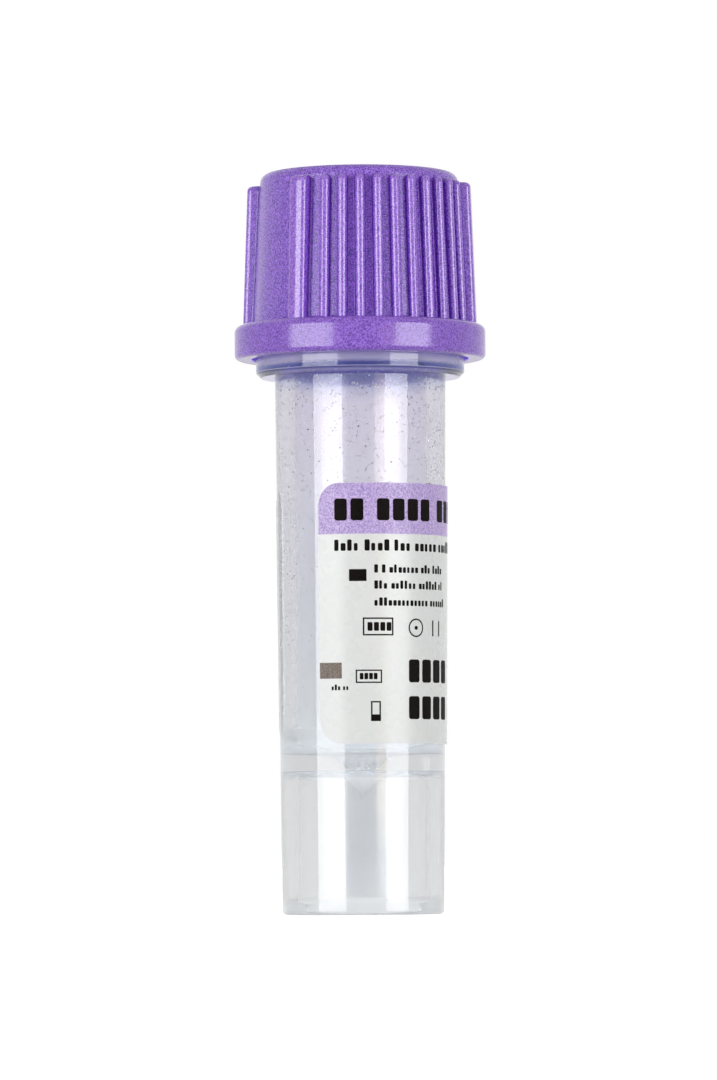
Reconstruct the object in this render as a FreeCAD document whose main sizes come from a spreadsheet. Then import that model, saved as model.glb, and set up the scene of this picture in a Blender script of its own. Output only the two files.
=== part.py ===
import FreeCAD, Part
import math
import os

import Sketcher
from FreeCAD import Placement, Rotation, Vector

# A small blood collection tube that stands on its own skirt, closed by a push-on ribbed cap and
# wrapped in a label. Millimetres and degrees. +Z is up and the origin is the centre of the foot.
# Each piece is a body of revolution; the cap's ribs are drafted fins set round its wall in two
# groups. A wide rib, which stands out further, closes each end of a group, and two smooth places
# are left between the groups for the thumb.

# Driving sizes, each held by one cell of the sheet: name, value, what it is.
SIZES = [
    ("shoulder_radius", 5.19, "outside of the tube just under the collar"),
    ("body_draft", 0.27, "radius that the tube loses from the collar to the foot"),
    ("body_wall", 1.0, "wall of the tube just above its floor"),
    ("skirt_wall", 0.98, "wall of the skirt at the foot"),
    ("foot_edge", 0.18, "chamfer outside the foot"),
    ("foot_bevel", 0.36, "width of the bevel inside the foot"),
    ("foot_bevel_rise", 0.75, "height of the bevel inside the foot"),
    ("floor_level", 8.7, "where the floor's underside meets the skirt"),
    ("floor_slope", 3.0, "fall of the floor from the wall to its well, in degrees"),
    ("well_radius", 1.33, "radius of the pointed well in the middle of the floor"),
    ("well_slope", 47.5, "fall of the well's cone, in degrees"),
    ("floor_thickness", 1.05, "upright thickness of the floor"),
    ("floor_corner", 0.5, "chamfer where the floor meets the bore"),
    ("skirt_corner", 0.25, "chamfer where the floor meets the skirt"),
    ("collar_level", 32.56, "underside of the collar"),
    ("collar_thickness", 2.21, "height of the collar"),
    ("collar_width", 1.15, "how far the collar stands out from the tube"),
    ("collar_under_edge", 0.34, "chamfer under the collar"),
    ("collar_top_edge", 0.12, "chamfer on top of the collar"),
    ("neck_step", 0.09, "how much slimmer the neck is than the shoulder"),
    ("neck_wall", 0.9, "wall of the neck"),
    ("neck_height", 8.43, "neck above the collar"),
    ("mouth_run", 1.4, "wide bore past the end of the plug"),
    ("mouth_shoulder", 0.4, "height of the cone that narrows the mouth to the bore"),
    ("rim_edge", 0.16, "chamfer of both edges of the rim"),
    ("cap_turn", -109.0, "how far the cap sits turned on the tube, in degrees"),
    ("flange_wall", 1.03, "wall of the thumb flange round the recess"),
    ("flange_thickness", 2.08, "height of the thumb flange"),
    ("flange_top_edge", 0.3, "chamfer on top of the flange"),
    ("flange_under_edge", 0.2, "chamfer under the flange"),
    ("recess_depth", 1.1, "recess of the flange, down over the collar"),
    ("recess_clearance", 0.26, "radial gap between the collar and the recess"),
    ("cap_wall_root", 1.21, "wall of the cap at the flange"),
    ("cap_wall_crown", 0.75, "wall of the cap at the crown"),
    ("crown_thickness", 1.3, "top disc of the cap"),
    ("crown_edge", 0.38, "chamfer of the crown"),
    ("neck_clearance", 0.15, "radial gap between the neck and the cap's groove"),
    ("rim_clearance", 0.5, "gap between the rim and the top disc"),
    ("plug_clearance", 0.04, "radial gap between the plug's seal band and the mouth"),
    ("plug_length", 5.2, "hollow plug under the top disc"),
    ("plug_wall", 0.92, "wall of the hollow plug"),
    ("plug_waist", 0.12, "how much slimmer the plug is above its seal band"),
    ("plug_lead", 0.4, "height of the bevel that leads the plug in"),
    ("plug_lead_width", 0.2, "width of the bevel that leads the plug in"),
    ("seal_band", 1.5, "height of the plug's seal band"),
    ("rib_drop", 0.62, "rib tops below the crown"),
    ("rib_width", 0.58, "width of a narrow rib"),
    ("rib_height_root", 0.46, "how far a narrow rib stands out at the flange"),
    ("rib_height_top", 0.53, "how far a narrow rib stands out at its top"),
    ("rib_pitch", 9.7, "angle from one narrow rib to the next, in degrees"),
    ("rib_count", 10, "narrow ribs in each group"),
    ("wide_rib_width", 1.15, "width of a wide rib"),
    ("wide_rib_height_root", 0.68, "how far a wide rib stands out at the flange"),
    ("wide_rib_height_top", 0.79, "how far a wide rib stands out at its top"),
    ("wide_rib_corner", 0.3, "rounding of a wide rib's top corners"),
    ("wide_rib_nose", 0.2, "chamfer of a wide rib's outer edges"),
    ("label_thickness", 0.1, "film of the label"),
    ("label_glue", 0.02, "layer of glue under the label"),
    ("label_level", 10.27, "lower edge of the label"),
    ("label_height", 15.63, "height of the label"),
    ("label_wrap", 290.0, "angle that the label goes round, in degrees"),
    ("label_turn", 25.5, "turn of the label's middle from +X, in degrees"),
    ("label_corner", 1.35, "rounding of the label's corners"),
]

# Radii and levels that follow from the sizes. Those of the cap are counted from its own underside.
LEVELS = [
    ("foot_radius", "Size.shoulder_radius - Size.body_draft"),
    ("skirt_radius", "foot_radius - Size.skirt_wall"),
    ("foot_bevel_radius", "skirt_radius + Size.foot_bevel"),
    ("well_under_level", "Size.floor_level - (skirt_radius - Size.well_radius) * tan(Size.floor_slope)"),
    ("under_tip_level", "well_under_level - Size.well_radius * tan(Size.well_slope)"),
    ("bore_floor_level", "Size.floor_level + Size.floor_thickness"),
    ("bore_radius",
     "foot_radius + Size.body_draft * bore_floor_level / Size.collar_level - Size.body_wall"),
    ("well_level", "bore_floor_level - (bore_radius - Size.well_radius) * tan(Size.floor_slope)"),
    ("tip_level", "well_level - Size.well_radius * tan(Size.well_slope)"),
    ("collar_radius", "Size.shoulder_radius + Size.collar_width"),
    ("seat_level", "Size.collar_level + Size.collar_thickness"),
    ("neck_radius", "Size.shoulder_radius - Size.neck_step"),
    ("rim_level", "seat_level + Size.neck_height"),
    ("mouth_radius", "neck_radius - Size.neck_wall"),
    ("mouth_level", "rim_level - (Size.plug_length - Size.rim_clearance) - Size.mouth_run"),
    ("bore_top_level", "mouth_level - Size.mouth_shoulder"),
    ("cap_level", "seat_level - Size.recess_depth"),
    ("recess_radius", "collar_radius + Size.recess_clearance"),
    ("flange_radius", "recess_radius + Size.flange_wall"),
    ("groove_radius", "neck_radius + Size.neck_clearance"),
    ("wall_root_radius", "groove_radius + Size.cap_wall_root"),
    ("crown_radius", "groove_radius + Size.cap_wall_crown"),
    ("disc_level", "Size.recess_depth + Size.neck_height + Size.rim_clearance"),
    ("crown_level", "disc_level + Size.crown_thickness"),
    ("seal_radius", "mouth_radius - Size.plug_clearance"),
    ("plug_radius", "seal_radius - Size.plug_waist"),
    ("plug_tip_radius", "seal_radius - Size.plug_lead_width"),
    ("hollow_radius", "seal_radius - Size.plug_wall"),
    ("plug_level", "disc_level - Size.plug_length"),
    ("seal_low_level", "plug_level + Size.plug_lead"),
    ("seal_high_level", "seal_low_level + Size.seal_band"),
    ("waist_level", "seal_high_level + Size.plug_waist"),
    ("rib_root_level", "(Size.recess_depth + Size.flange_thickness) / 2"),
    ("rib_top_level", "crown_level - Size.rib_drop"),
    ("rib_root_radius", "wall_root_radius + Size.rib_height_root"),
    ("rib_top_radius", "crown_radius + Size.rib_height_top"),
    ("wide_rib_root_radius", "wall_root_radius + Size.wide_rib_height_root"),
    ("wide_rib_top_radius", "crown_radius + Size.wide_rib_height_top"),
    ("rib_heel_radius", "(groove_radius + crown_radius) / 2"),
    ("rib_corner", "Size.rib_width * 0.46"),
    ("rib_nose", "Size.rib_width * 0.28"),
    ("label_top_level", "Size.label_level + Size.label_height"),
    ("upper_corner_level", "label_top_level - Size.label_corner"),
    ("lower_corner_level", "Size.label_level + Size.label_corner"),
    ("label_low_radius",
     "foot_radius + Size.body_draft * Size.label_level / Size.collar_level + Size.label_glue"),
    ("label_top_radius",
     "foot_radius + Size.body_draft * label_top_level / Size.collar_level + Size.label_glue"),
    ("label_low_outside", "label_low_radius + Size.label_thickness"),
    ("label_top_outside", "label_top_radius + Size.label_thickness"),
]

AXIS = None  # in place of a radius: the corner lies on the axis
BASE = None  # in place of a level: the corner lies on the piece's own base plane

# Half sections, as (radius, level) corners in order round the outline.
TUBE_SECTION = [
    ("foot_bevel_radius", BASE),
    ("foot_radius", BASE),
    ("shoulder_radius", "collar_level"),
    ("collar_radius", "collar_level"),
    ("collar_radius", "seat_level"),
    ("neck_radius", "seat_level"),
    ("neck_radius", "rim_level"),
    ("mouth_radius", "rim_level"),
    ("mouth_radius", "mouth_level"),
    ("bore_radius", "bore_top_level"),
    ("bore_radius", "bore_floor_level"),
    ("well_radius", "well_level"),
    (AXIS, "tip_level"),
    (AXIS, "under_tip_level"),
    ("well_radius", "well_under_level"),
    ("skirt_radius", "floor_level"),
    ("skirt_radius", "foot_bevel_rise"),
]

CAP_SECTION = [
    ("recess_radius", BASE),
    ("flange_radius", BASE),
    ("flange_radius", "flange_thickness"),
    ("wall_root_radius", "flange_thickness"),
    ("crown_radius", "crown_level"),
    (AXIS, "crown_level"),
    (AXIS, "disc_level"),
    ("hollow_radius", "disc_level"),
    ("hollow_radius", "plug_level"),
    ("plug_tip_radius", "plug_level"),
    ("seal_radius", "seal_low_level"),
    ("seal_radius", "seal_high_level"),
    ("plug_radius", "waist_level"),
    ("plug_radius", "disc_level"),
    ("groove_radius", "disc_level"),
    ("groove_radius", "recess_depth"),
    ("recess_radius", "recess_depth"),
]


LABEL_SECTION = [
    ("label_low_radius", "label_level"),
    ("label_low_outside", "label_level"),
    ("label_top_outside", "label_top_level"),
    ("label_top_radius", "label_top_level"),
]

# What is cut from the label's upper and lower corner, seen square to the label at its end.
UPPER_CORNER = [(AXIS, "upper_corner_level"), ("label_corner", "label_top_level"),
                (AXIS, "label_top_level")]
LOWER_CORNER = [(AXIS, "lower_corner_level"), ("label_corner", "label_level"),
                (AXIS, "label_level")]
CORNER_ARC = {0: "label_corner"}

NEAR = 1e-4  # how near a corner or an edge must lie to the place where it is looked for
FULL_TURN = 360
QUARTER_TURN = 90
RIB_GROUPS = 2  # the two groups of ribs face each other across the cap
WIDE_RIB_GAP = 1.5  # from the last narrow rib of a group to the wide one, in pitches

doc = FreeCAD.newDocument("blood_tube")
sheet = doc.addObject("Spreadsheet::Sheet", "Size")
levels = doc.addObject("App::VarSet", "Level")


def fill_sheet():
    """Write each driving size to a cell of its own, under its name."""
    for row, (name, size, note) in enumerate(SIZES, start=1):
        sheet.set(f"A{row}", name)
        sheet.set(f"B{row}", str(size))
        sheet.set(f"C{row}", note)
        sheet.setAlias(f"B{row}", name)
    doc.recompute()


def fill_levels():
    """Bind each level and radius to the sizes that it follows from."""
    for name, rule in LEVELS:
        levels.addProperty("App::PropertyFloat", name)
        levels.setExpression(name, rule)
    doc.recompute()


def cell(name):
    """The expression that reads a size or a level."""
    return f"Level.{name}" if name in levels.PropertiesList else f"Size.{name}"


def number(name):
    """The number that a size or a level has now, or 0 for the axis or the base."""
    holder = levels if name in levels.PropertiesList else sheet
    return float(getattr(holder, name)) if name else 0.0


def new_body(label):
    body = doc.addObject("PartDesign::Body", label)
    body.Label = label
    return body


def origin_part(body, role):
    return next(part for part in body.Origin.OriginFeatures if part.Role == role)


def upright_sketch(body, name, turn="0"):
    """A sketch on the body's XZ plane, turned about Z. Its x is a radius and its y a level."""
    sketch = body.newObject("Sketcher::SketchObject", name)
    sketch.AttachmentSupport = [(origin_part(body, "XZ_Plane"), "")]
    sketch.MapMode = "FlatFace"
    sketch.AttachmentOffset = Placement(Vector(), Rotation(Vector(0, 1, 0), 1))
    sketch.setExpression("AttachmentOffset.Rotation.Angle", turn)
    return sketch


def arc_between(first, last, centre_x):
    """The shorter arc from one corner to another whose centre stands at the given x."""
    lean = (last.x - centre_x) ** 2 - (first.x - centre_x) ** 2
    centre = Vector(centre_x, (lean + last.y ** 2 - first.y ** 2) / (2 * (last.y - first.y)), 0)
    circle = Part.Circle(centre, Vector(0, 0, 1), (first - centre).Length)
    start, end = (math.atan2(p.y - centre.y, p.x - centre.x) for p in (first, last))
    if (end - start) % (2 * math.pi) > math.pi:
        start, end = end, start
    return Part.ArcOfCircle(circle, start, start + (end - start) % (2 * math.pi))


def draw_section(sketch, corners, arcs=None):
    """Draw a closed outline through the named corners and hold each corner by its names.

    arcs gives each side that is an arc, by its place in the outline, and its centre's radius."""
    points = [Vector(number(r), number(z), 0) for r, z in corners]
    sides = []
    for side, first in enumerate(points):
        last = points[(side + 1) % len(points)]
        if arcs and side in arcs:
            geo = sketch.addGeometry(arc_between(first, last, number(arcs[side])))
            hold(sketch, "DistanceX", geo, 3, arcs[side])
        else:
            geo = sketch.addGeometry(Part.LineSegment(first, last))
        ends = (1, 2) if (sketch.getPoint(geo, 1) - first).Length < NEAR else (2, 1)
        sides.append((geo, *ends))
    for side, (geo, start, end) in enumerate(sides):
        after = sides[(side + 1) % len(sides)]
        sketch.addConstraint(Sketcher.Constraint("Coincident", geo, end, after[0], after[1]))
        hold(sketch, "DistanceX", geo, start, corners[side][0])
        hold(sketch, "DistanceY", geo, start, corners[side][1])


def hold(sketch, kind, geo, end, name):
    """Hold a point at its named radius (DistanceX) or level (DistanceY), or on the sketch's axis."""
    if name is None:
        axis = {"DistanceX": -2, "DistanceY": -1}[kind]
        sketch.addConstraint(Sketcher.Constraint("PointOnObject", geo, end, axis))
    else:
        at = sketch.addConstraint(Sketcher.Constraint(kind, -1, 1, geo, end, number(name)))
        sketch.setExpression(f"Constraints[{at}]", cell(name))


def revolve(body, sketch, angle=str(FULL_TURN)):
    """Turn a half section about the axis, half of the angle to each side."""
    turned = body.newObject("PartDesign::Revolution", body.Label + "_turned")
    turned.Profile = sketch
    turned.ReferenceAxis = (sketch, ["V_Axis"])
    turned.Midplane = True
    turned.setExpression("Angle", angle)
    doc.recompute()


def dress(body, name, size, edges, kind="Chamfer"):
    """Chamfer or fillet the edges, given as names on the body's present shape."""
    step = body.newObject(f"PartDesign::{kind}", name)
    step.Base = (body.Group[-2], edges)
    step.setExpression({"Chamfer": "Size", "Fillet": "Radius"}[kind], cell(size))
    body.Tip = step
    doc.recompute()


def is_curve(edge, kind):
    """Whether an edge runs along this kind of curve. A pole's edge runs along none."""
    return not edge.Degenerated and isinstance(edge.Curve, kind)


def rings(body, *places):
    """Names of the round edges that lie at one of the (radius, level) places."""
    wanted = [(number(radius), number(level)) for radius, level in places]
    return [
        f"Edge{place}"
        for place, edge in enumerate(body.Tip.Shape.Edges, start=1)
        if is_curve(edge, Part.Circle)
        and any(
            abs(edge.Curve.Radius - radius) < NEAR and abs(edge.Curve.Center.z - level) < NEAR
            for radius, level in wanted
        )
    ]


def make_tube():
    """The moulded tube: tapered body, collar, neck, raised floor with its well, open skirt."""
    body = new_body("tube")
    sketch = upright_sketch(body, "tube_section")
    draw_section(sketch, TUBE_SECTION)
    revolve(body, sketch)
    for size, places in (
        ("foot_edge", [("foot_radius", BASE)]),
        ("collar_under_edge", [("collar_radius", "collar_level")]),
        ("collar_top_edge", [("collar_radius", "seat_level")]),
        ("rim_edge", [("neck_radius", "rim_level"), ("mouth_radius", "rim_level")]),
        ("floor_corner", [("bore_radius", "bore_floor_level")]),
        ("skirt_corner", [("skirt_radius", "floor_level")]),
    ):
        dress(body, "tube_" + size, size, rings(body, *places))
    return body


def make_cap():
    """The moulded cap: crown, drafted wall with its ribs, thumb flange and hollow plug."""
    body = new_body("cap")
    sketch = upright_sketch(body, "cap_section")
    draw_section(sketch, CAP_SECTION)
    revolve(body, sketch)
    for size, places in (
        ("crown_edge", [("crown_radius", "crown_level")]),
        ("flange_top_edge", [("flange_radius", "flange_thickness")]),
        ("flange_under_edge", [("flange_radius", BASE)]),
    ):
        dress(body, "cap_" + size, size, rings(body, *places))
    add_ribs(body, "rib", *narrow_rib_places())
    add_ribs(body, "wide_rib", *wide_rib_places())
    body.setExpression("Placement.Base.z", cell("cap_level"))
    body.Placement.Rotation = Rotation(Vector(0, 0, 1), 1)
    body.setExpression("Placement.Rotation.Angle", cell("cap_turn"))
    return body


def narrow_rib_places():
    """Where the first narrow rib stands, how many a group has and the angle that they take."""
    return "0", cell("rib_count"), "(Size.rib_count - 1) * Size.rib_pitch"


def wide_rib_places():
    """The same for the two wide ribs that end a group."""
    first = f"-{WIDE_RIB_GAP} * Size.rib_pitch"
    return first, "2", f"(Size.rib_count - 1 + 2 * {WIDE_RIB_GAP}) * Size.rib_pitch"


def add_ribs(body, name, first, count, angle):
    """Add both groups of one kind of rib: drafted fins with round tops and chamfered noses.

    The kind's sizes and levels begin with its name."""
    root_radius, top_radius = name + "_root_radius", name + "_top_radius"
    sketch = upright_sketch(body, name + "_side", first)
    draw_section(sketch, [
        ("rib_heel_radius", "rib_root_level"),
        (root_radius, "rib_root_level"),
        (top_radius, "rib_top_level"),
        ("rib_heel_radius", "rib_top_level"),
    ])
    fin = body.newObject("PartDesign::Pad", name + "_fin")
    fin.Profile = sketch
    fin.SideType = "Symmetric"
    fin.setExpression("Length", cell(name + "_width"))
    doc.recompute()
    group = polar_step(body, name + "_group", count, angle)
    sides = polar_step(body, name + "_sides", str(RIB_GROUPS), str(FULL_TURN))
    ribs = body.newObject("PartDesign::MultiTransform", name + "s")
    ribs.Originals = [fin]
    ribs.Transformations = [group, sides]
    body.Tip = ribs
    doc.recompute()
    angles = rib_angles(sketch.AttachmentOffset.Rotation, group)
    fin_sizes = number(name + "_width") / 2, number(root_radius), number(top_radius)
    dress(body, name + "_corners", name + "_corner",
          fin_edges(body, angles, on_top_corner, *fin_sizes), "Fillet")
    dress(body, name + "_noses", name + "_nose", fin_edges(body, angles, on_nose, *fin_sizes))


def polar_step(body, name, count, angle):
    """One step of a pattern about the axis."""
    step = body.newObject("PartDesign::PolarPattern", name)
    step.Axis = (origin_part(body, "Z_Axis"), [""])
    step.setExpression("Occurrences", count)
    step.setExpression("Angle", angle)
    return step


def rib_angles(first, group):
    """The directions of all the ribs that a pattern makes, in degrees."""
    start = math.degrees(first.Angle) * first.Axis.y
    pitch = float(group.Angle) / (group.Occurrences - 1)
    return [
        start + step * pitch + side * FULL_TURN / RIB_GROUPS
        for step in range(group.Occurrences)
        for side in range(RIB_GROUPS)
    ]


def on_top_corner(ends, half, *radii):
    """Whether an edge, seen along its rib, is one of the fin's upper side edges."""
    near, far = ends
    return abs(near.y - far.y) < NEAR and all(
        abs(abs(end.y) - half) < NEAR and abs(end.z - number("rib_top_level")) < NEAR for end in ends
    )


def on_nose(ends, half, root_radius, top_radius):
    """Whether an edge, seen along its rib, bounds the fin's sloping outer face above the flange."""
    low, high = number("rib_root_level"), number("rib_top_level")
    slope = (root_radius - top_radius) / (high - low)
    return any(end.z > number("flange_thickness") + NEAR for end in ends) and all(
        abs(end.x - top_radius - slope * (high - end.z)) < NEAR and abs(end.y) < half + NEAR
        for end in ends
    )


def fin_edges(body, angles, test, *fin_sizes):
    """Names of the edges that pass the test on one of the ribs."""
    names = []
    for place, edge in enumerate(body.Tip.Shape.Edges, start=1):
        ends = [vertex.Point for vertex in edge.Vertexes]
        for angle in angles:
            seen = [Rotation(Vector(0, 0, 1), -angle).multVec(end) for end in ends]
            if len(seen) == 2 and min(end.x for end in seen) > 0 and test(seen, *fin_sizes):
                names.append(f"Edge{place}")
    return names


def make_label():
    """The film label, wrapped round the tapered body on its glue, with rounded corners."""
    body = new_body("label")
    sketch = upright_sketch(body, "label_section")
    draw_section(sketch, LABEL_SECTION)
    revolve(body, sketch, cell("label_wrap"))
    square = body.Tip.Shape.Volume
    sketch = upright_sketch(body, "corner_outline", f"{cell('label_wrap')} / 2 - {QUARTER_TURN}")
    draw_section(sketch, UPPER_CORNER, CORNER_ARC)
    draw_section(sketch, LOWER_CORNER, CORNER_ARC)
    corners = body.newObject("PartDesign::Pocket", "end_corners")
    corners.Profile = sketch
    corners.setExpression("Length", f"2 * {cell('shoulder_radius')}")
    doc.recompute()
    one_end = body.Tip.Shape.Volume
    mirrored = body.newObject("PartDesign::Mirrored", "other_corners")
    mirrored.Originals = [corners]
    mirrored.MirrorPlane = (origin_part(body, "XZ_Plane"), [""])
    body.Tip = mirrored
    doc.recompute()
    if not square > one_end > mirrored.Shape.Volume:
        raise RuntimeError("a corner of the label was not cut")
    body.Placement.Rotation = Rotation(Vector(0, 0, 1), 1)
    body.setExpression("Placement.Rotation.Angle", cell("label_turn"))
    return body


def check(bodies):
    """Stop with a plain message if an object failed or a piece is no valid single solid."""
    doc.recompute()
    for item in doc.Objects:
        if "Invalid" in item.State or "Error" in item.State:
            raise RuntimeError(f"{item.Name} failed: {item.State}")
    for body in bodies:
        shape = body.Shape
        if shape.isNull() or not shape.isValid() or len(shape.Solids) != 1:
            raise RuntimeError(f"{body.Label} is no valid single solid")


def write(bodies):
    """Write each piece to a file named after it, and print its size."""
    os.makedirs("parts", exist_ok=True)
    for body in bodies:
        body.Shape.exportStep(f"parts/{body.Label}.step")
        box = body.Shape.optimalBoundingBox(True, False)
        print(f"{body.Label}: {box.XLength:.2f} x {box.YLength:.2f} x {box.ZLength:.2f} mm,",
              f"from z {box.ZMin:.2f}, volume {body.Shape.Volume:.1f} mm3")


fill_sheet()
fill_levels()
pieces = [make_tube(), make_cap(), make_label()]
check(pieces)
write(pieces)
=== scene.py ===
import math

import bpy
import numpy as np
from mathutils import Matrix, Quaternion, Vector


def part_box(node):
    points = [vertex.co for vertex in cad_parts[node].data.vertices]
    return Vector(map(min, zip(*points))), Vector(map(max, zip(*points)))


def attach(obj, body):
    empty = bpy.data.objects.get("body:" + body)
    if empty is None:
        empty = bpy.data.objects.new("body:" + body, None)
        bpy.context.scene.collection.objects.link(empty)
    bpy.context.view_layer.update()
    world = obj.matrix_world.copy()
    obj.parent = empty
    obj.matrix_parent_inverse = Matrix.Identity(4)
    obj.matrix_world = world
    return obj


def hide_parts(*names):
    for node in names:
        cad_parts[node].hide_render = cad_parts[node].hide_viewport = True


# A small blood collection tube on its own skirt, with its label, print and ribbed push-on cap, on a
# pale table between two soft boxes. A narrow warm lamp tints the edge of the right one's
# reflection, and a soft fill lights the back. The part's sizes are in millimetres and turn into
# metres in piece(). Lamps and camera are in metres. Each surface of the part is a grid of closed
# loops, worked out as whole arrays.

MM = 0.001
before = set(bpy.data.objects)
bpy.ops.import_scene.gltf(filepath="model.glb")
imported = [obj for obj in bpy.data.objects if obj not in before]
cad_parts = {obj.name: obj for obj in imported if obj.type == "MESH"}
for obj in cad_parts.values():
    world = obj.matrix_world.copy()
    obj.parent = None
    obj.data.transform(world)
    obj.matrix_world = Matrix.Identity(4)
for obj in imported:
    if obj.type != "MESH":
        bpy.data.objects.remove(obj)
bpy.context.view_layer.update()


def span(node):
    """Lowest and highest corner of a CAD node at rest, in millimetres."""
    low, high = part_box(node)
    return np.array(low) / MM, np.array(high) / MM


TUBE, CAP, LABEL = span("tube"), span("cap"), span("label")

# Tube: levels from the foot up, radii outside and inside
RIM = TUBE[1][2]
COLLAR_RADIUS = TUBE[1][0]
COLLAR_LOW = 32.56
SEAT = 34.77
FOOT_RADIUS = 4.92
SHOULDER_RADIUS = 5.19
NECK_RADIUS = 5.10
MOUTH_RADIUS = 4.20
MOUTH_LOW = 37.10
BORE_TOP = 36.70
BORE_RADIUS = 4.00
BORE_FLOOR = 9.75
SKIRT_RADIUS = 3.94
SKIRT_CEILING = 8.70
FOOT_BEVEL = (0.36, 0.75)  # width and height
WELL_RADIUS = 1.33
FLOOR_FALL = math.tan(math.radians(3.0))
WELL_FALL = math.tan(math.radians(47.5))
WELL_UNDER = SKIRT_CEILING - (SKIRT_RADIUS - WELL_RADIUS) * FLOOR_FALL  # its edge from below
WELL_OVER = BORE_FLOOR - (BORE_RADIUS - WELL_RADIUS) * FLOOR_FALL  # and from above
SEAT_BITE = 0.01  # how far the collar is pressed into the softer cap that rests on it
RIPPLE = 0.012  # how far the moulded wall wanders, inwards only
BORE_WALL = BORE_RADIUS - RIPPLE / 2  # where the rippled bore lies on average

# Cap: levels and radii in the same frame
CAP_BASE = CAP[0][2]
CROWN = CAP[1][2]
FLANGE_RADIUS = CAP[1][0]
FLANGE_TOP = CAP_BASE + 2.08
RECESS_RADIUS = 6.60
GROOVE_RADIUS = 5.25
WALL_ROOT_RADIUS = 6.46
CROWN_RADIUS = 6.00
DISC = 43.70
PLUG_END = 38.50
PLUG_RADIUS = 4.04
SEAL_RADIUS = 4.16
HOLLOW_RADIUS = 3.24

# Ribs: levels, and for each kind its width, how far it stands out at root and top, and its rounding
RIB_ROOT = CAP_BASE + 1.60
RIB_TOP = CROWN - 0.62
NARROW_RIB = (0.58, 0.46, 0.53, 0.29)
WIDE_RIB = (1.15, 0.68, 0.79, 0.30)
ROOT_FLARE, ROOT_RISE = 0.09, 0.13  # how far a rib's foot spreads each side, and how high
FLARE_LOSS = 0.7  # share of that spread which is gone at the rib's top
HEEL = 0.25  # how deep inside the wall a rib begins
RIB_PITCH = 9.7
RIB_COUNT = 10
WIDE_GAP = 1.5  # from a group's last narrow rib to the wide one, in pitches
CAP_TURN = -109.0  # direction of the first narrow rib, in degrees from +X

# Label: millimetres along it start at its left edge
LABEL_FROM, LABEL_WRAP = math.radians(25.5 - 145.0), math.radians(290.0)
LABEL_LOW, LABEL_TOP = LABEL[0][2], LABEL[1][2]
LABEL_CORNER = 1.35
LABEL_IN, LABEL_OUT = -0.03, 0.12  # inner and outer face above the plastic
LABEL_RADIUS = 5.14  # that turns millimetres along the label into an angle
LABEL_LENGTH = LABEL_WRAP * LABEL_RADIUS
BAND_LOW = 22.82
BAND_INSET = 0.01  # from the label's edges to the band's
INK = 0.005  # how far ink stands off the film
INK_DEPTH = 0.02  # how far it reaches into the film

TURNS = 256  # columns round a turned piece
ARC_END = 0.04  # from the end of an arc to the extra point beside it

# Bands of levels on the clear plastic: where each starts, is full, is last full and has ended
SOLID_FLOOR = (SKIRT_CEILING - 0.2, SKIRT_CEILING + 0.1, BORE_FLOOR - 0.1, BORE_FLOOR + 0.3)
FLOOR_FACES = (SKIRT_CEILING - 1.8, SKIRT_CEILING - 0.4, BORE_FLOOR + 0.2, BORE_FLOOR + 0.9)
LOWEST_BORE = (BORE_FLOOR + 0.05, BORE_FLOOR + 0.2, BORE_FLOOR + 0.5, BORE_FLOOR + 1.7)
# OVER_FLOOR and UNDER_FLOOR also mark the corners where the painted glow is stronger
OVER_FLOOR = (BORE_FLOOR - 0.2, BORE_FLOOR - 0.1, BORE_FLOOR + 0.7, BORE_FLOOR + 0.9)
UNDER_FLOOR = (SKIRT_CEILING - 0.7, SKIRT_CEILING - 0.5, SKIRT_CEILING - 0.1, SKIRT_CEILING)
COLLAR = (COLLAR_LOW, COLLAR_LOW + 0.15, SEAT + 0.05, SEAT + 0.25)
# levels of a painted highlight line along the top edge of the collar's chamfer
COLLAR_HIGHLIGHT_LINE = (COLLAR_LOW + 0.27, COLLAR_LOW + 0.29, COLLAR_LOW + 0.31, COLLAR_LOW + 0.34)

# Tones of the clear plastic
CLEAR = ((0.89, 0.92, 0.945), (0.92, 0.94, 0.96))
# painted reflection: the cap's lilac carried up the clear wall
CAP_REFLECTION_LILAC = (0.925, 0.90, 0.99)
BLUE_CLEAR = (0.64, 0.69, 0.92)
FLOOR_CLEAR = (0.86, 0.875, 0.895)
SKIRT_CLEAR = (0.96, 0.97, 0.975)
EDGE_MILKY = (0.72, 0.71, 0.90)
# painted shade: a navy band across the otherwise plain milky collar
NAVY_SHADE_MILKY = (0.06, 0.09, 0.44)
PALE_MILKY = (0.76, 0.74, 0.88)
# painted highlight: the thin bright line on the collar's chamfer edge
HIGHLIGHT_LINE_MILKY = (0.97, 0.95, 1.0)

# Tones of the purple plastic, from the dark to the bright side of its grain
SMOOTH_PURPLE = ((0.09, 0.02, 0.38), (0.48, 0.235, 0.98))
# painted shade: the wall among the ribs, darker where less light reaches it
AMONG_RIBS_SHADE_PURPLE = ((0.05, 0.002, 0.32), (0.37, 0.09, 0.86))
# painted highlight: the rib noses are a lighter purple, which brightens their highlights
NOSE_HIGHLIGHT_PURPLE = ((0.17, 0.05, 0.50), (0.50, 0.24, 0.98))
FLANGE_PURPLE = ((0.14, 0.04, 0.44), (0.41, 0.195, 0.86))
# painted shade at the foot of each rib
RIB_FOOT_SHADE_PURPLE = (0.06, 0.006, 0.28)

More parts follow.
